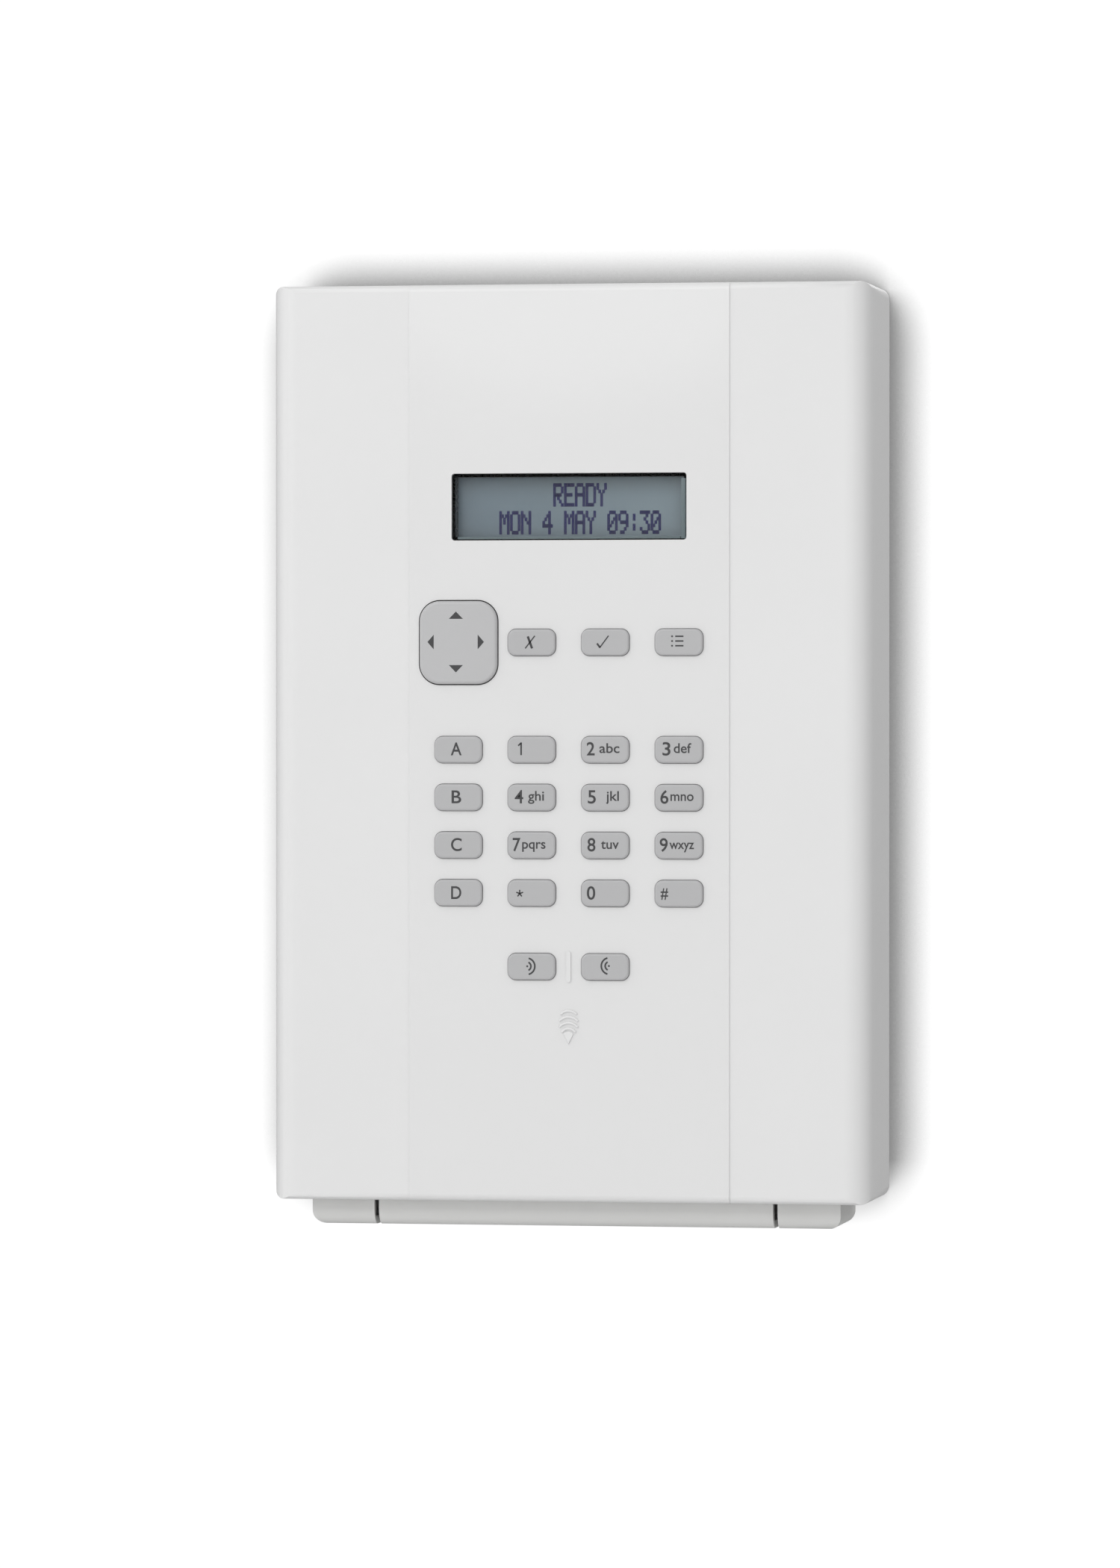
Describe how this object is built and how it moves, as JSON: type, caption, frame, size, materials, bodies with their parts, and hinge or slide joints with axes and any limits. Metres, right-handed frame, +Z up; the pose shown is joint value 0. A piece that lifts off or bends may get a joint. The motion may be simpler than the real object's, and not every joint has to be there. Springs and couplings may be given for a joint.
{
  "type": "alarm keypad panel",
  "caption": "Wall-mounted alarm keypad panel: deep rounded cover on a wall tray, display window, press keys, four-way rocker and a raised reader symbol.",
  "frame": {"origin": "middle of the cover's outline, on the wall face of the tray", "axes": "+Z up, +Y into the wall, +X to the right as seen from the front; the keys face -Y"},
  "size_m": [0.1616, 0.0411, 0.2512],
  "materials": {
    "white_cover": "smooth semi-gloss ABS",
    "clear_lens": "clear polished",
    "black_bezel": "matt black",
    "display_glass": "grey-green display",
    "light_guide": "milky acrylic",
    "green_board": "solder resist",
    "flex_film": "polyimide film",
    "silicone": "matt silicone",
    "grey_key": "satin grey",
    "grey_rocker": "satin light grey",
    "steel": "plated",
    "copper_coil": "enamelled wire",
    "black_part": "matt",
    "white_tray": "fine textured ABS",
    "green_terminal": "matt",
    "cell_wrap": "shrink film",
    "module_can": "tinned",
    "capacitor_can": "sleeve"
  },
  "bodies": {
    "base": {"rear_base": "white_tray", "main_board": "green_board", "base_screws": "steel", "terminal_blocks": "green_terminal", "terminal_screws": "steel", "battery_holder": "black_part", "battery_cells": "cell_wrap", "battery_contacts": "steel", "radio_module": "module_can", "comms_module": "module_can", "capacitors": "capacitor_can", "board_chips": "black_part", "power_choke": "black_part", "main_header": "black_part", "aerials": "copper_coil", "tamper_switch": "black_part", "cable_clamp": "black_part"},
    "cover": {"front_cover": "white_cover", "display_lens": "clear_lens", "lcd_bezel": "black_bezel", "lcd_glass": "display_glass", "lcd_backlight": "light_guide", "lcd_board": "green_board", "lcd_ribbon": "flex_film", "nav_post": "white_tray", "keypad_mat": "silicone", "keypad_board": "green_board", "key_domes": "steel", "keypad_screws": "steel", "reader_coil": "copper_coil", "sounder": "black_part", "keypad_header": "black_part", "cover_screws": "steel"},
    "key_cancel": {"key_cancel": "grey_key"},
    "key_confirm": {"key_confirm": "grey_key"},
    "key_menu": {"key_menu": "grey_key"},
    "key_a": {"key_a": "grey_key"},
    "key_1": {"key_1": "grey_key"},
    "key_2": {"key_2": "grey_key"},
    "key_3": {"key_3": "grey_key"},
    "key_b": {"key_b": "grey_key"},
    "key_4": {"key_4": "grey_key"},
    "key_5": {"key_5": "grey_key"},
    "key_6": {"key_6": "grey_key"},
    "key_c": {"key_c": "grey_key"},
    "key_7": {"key_7": "grey_key"},
    "key_8": {"key_8": "grey_key"},
    "key_9": {"key_9": "grey_key"},
    "key_d": {"key_d": "grey_key"},
    "key_star": {"key_star": "grey_key"},
    "key_0": {"key_0": "grey_key"},
    "key_hash": {"key_hash": "grey_key"},
    "key_unset": {"key_unset": "grey_key"},
    "key_set": {"key_set": "grey_key"},
    "nav_pivot": {"nav_pivot": "white_tray"},
    "nav_pad": {"nav_pad": "grey_rocker"},
    "tamper_plunger": {"tamper_plunger": "white_tray"},
    "cable_cover": {"cable_cover": "white_tray"}
  },
  "joints": [
    {"name": "cover_hinge", "type": "hinge", "parent": "base", "child": "cover", "pos_m": [0, -0.0034, 0.1192], "axis": [-1, 0, 0], "range_deg": [0, 75]},
    {"name": "key_cancel_press", "type": "slide", "parent": "cover", "child": "key_cancel", "axis": [0, 1, 0], "range_m": [0, 0.0009], "stiffness_N_per_m": 600, "springref_m": -0.0005},
    {"name": "key_confirm_press", "type": "slide", "parent": "cover", "child": "key_confirm", "axis": [0, 1, 0], "range_m": [0, 0.0009], "stiffness_N_per_m": 600, "springref_m": -0.0005},
    {"name": "key_menu_press", "type": "slide", "parent": "cover", "child": "key_menu", "axis": [0, 1, 0], "range_m": [0, 0.0009], "stiffness_N_per_m": 600, "springref_m": -0.0005},
    {"name": "key_a_press", "type": "slide", "parent": "cover", "child": "key_a", "axis": [0, 1, 0], "range_m": [0, 0.0009], "stiffness_N_per_m": 600, "springref_m": -0.0005},
    {"name": "key_1_press", "type": "slide", "parent": "cover", "child": "key_1", "axis": [0, 1, 0], "range_m": [0, 0.0009], "stiffness_N_per_m": 600, "springref_m": -0.0005},
    {"name": "key_2_press", "type": "slide", "parent": "cover", "child": "key_2", "axis": [0, 1, 0], "range_m": [0, 0.0009], "stiffness_N_per_m": 600, "springref_m": -0.0005},
    {"name": "key_3_press", "type": "slide", "parent": "cover", "child": "key_3", "axis": [0, 1, 0], "range_m": [0, 0.0009], "stiffness_N_per_m": 600, "springref_m": -0.0005},
    {"name": "key_b_press", "type": "slide", "parent": "cover", "child": "key_b", "axis": [0, 1, 0], "range_m": [0, 0.0009], "stiffness_N_per_m": 600, "springref_m": -0.0005},
    {"name": "key_4_press", "type": "slide", "parent": "cover", "child": "key_4", "axis": [0, 1, 0], "range_m": [0, 0.0009], "stiffness_N_per_m": 600, "springref_m": -0.0005},
    {"name": "key_5_press", "type": "slide", "parent": "cover", "child": "key_5", "axis": [0, 1, 0], "range_m": [0, 0.0009], "stiffness_N_per_m": 600, "springref_m": -0.0005},
    {"name": "key_6_press", "type": "slide", "parent": "cover", "child": "key_6", "axis": [0, 1, 0], "range_m": [0, 0.0009], "stiffness_N_per_m": 600, "springref_m": -0.0005},
    {"name": "key_c_press", "type": "slide", "parent": "cover", "child": "key_c", "axis": [0, 1, 0], "range_m": [0, 0.0009], "stiffness_N_per_m": 600, "springref_m": -0.0005},
    {"name": "key_7_press", "type": "slide", "parent": "cover", "child": "key_7", "axis": [0, 1, 0], "range_m": [0, 0.0009], "stiffness_N_per_m": 600, "springref_m": -0.0005},
    {"name": "key_8_press", "type": "slide", "parent": "cover", "child": "key_8", "axis": [0, 1, 0], "range_m": [0, 0.0009], "stiffness_N_per_m": 600, "springref_m": -0.0005},
    {"name": "key_9_press", "type": "slide", "parent": "cover", "child": "key_9", "axis": [0, 1, 0], "range_m": [0, 0.0009], "stiffness_N_per_m": 600, "springref_m": -0.0005},
    {"name": "key_d_press", "type": "slide", "parent": "cover", "child": "key_d", "axis": [0, 1, 0], "range_m": [0, 0.0009], "stiffness_N_per_m": 600, "springref_m": -0.0005},
    {"name": "key_star_press", "type": "slide", "parent": "cover", "child": "key_star", "axis": [0, 1, 0], "range_m": [0, 0.0009], "stiffness_N_per_m": 600, "springref_m": -0.0005},
    {"name": "key_0_press", "type": "slide", "parent": "cover", "child": "key_0", "axis": [0, 1, 0], "range_m": [0, 0.0009], "stiffness_N_per_m": 600, "springref_m": -0.0005},
    {"name": "key_hash_press", "type": "slide", "parent": "cover", "child": "key_hash", "axis": [0, 1, 0], "range_m": [0, 0.0009], "stiffness_N_per_m": 600, "springref_m": -0.0005},
    {"name": "key_unset_press", "type": "slide", "parent": "cover", "child": "key_unset", "axis": [0, 1, 0], "range_m": [0, 0.0009], "stiffness_N_per_m": 600, "springref_m": -0.0005},
    {"name": "key_set_press", "type": "slide", "parent": "cover", "child": "key_set", "axis": [0, 1, 0], "range_m": [0, 0.0009], "stiffness_N_per_m": 600, "springref_m": -0.0005},
    {"name": "nav_left_right", "type": "hinge", "parent": "cover", "child": "nav_pivot", "pos_m": [-0.0297, -0.0362, 0.02675], "axis": [0, 0, 1], "range_deg": [-1.7, 1.7], "stiffness_Nm_per_rad": 0.3},
    {"name": "nav_up_down", "type": "hinge", "parent": "nav_pivot", "child": "nav_pad", "pos_m": [-0.0297, -0.0362, 0.02675], "axis": [1, 0, 0], "range_deg": [-1.7, 1.7], "stiffness_Nm_per_rad": 0.3},
    {"name": "tamper_press", "type": "slide", "parent": "base", "child": "tamper_plunger", "axis": [0, 1, 0], "range_m": [0, 0.0018], "stiffness_N_per_m": 300, "springref_m": -0.001},
    {"name": "cable_cover_slide", "type": "slide", "parent": "base", "child": "cable_cover", "axis": [0, 0, -1], "range_m": [0, 0.012]}
  ]
}
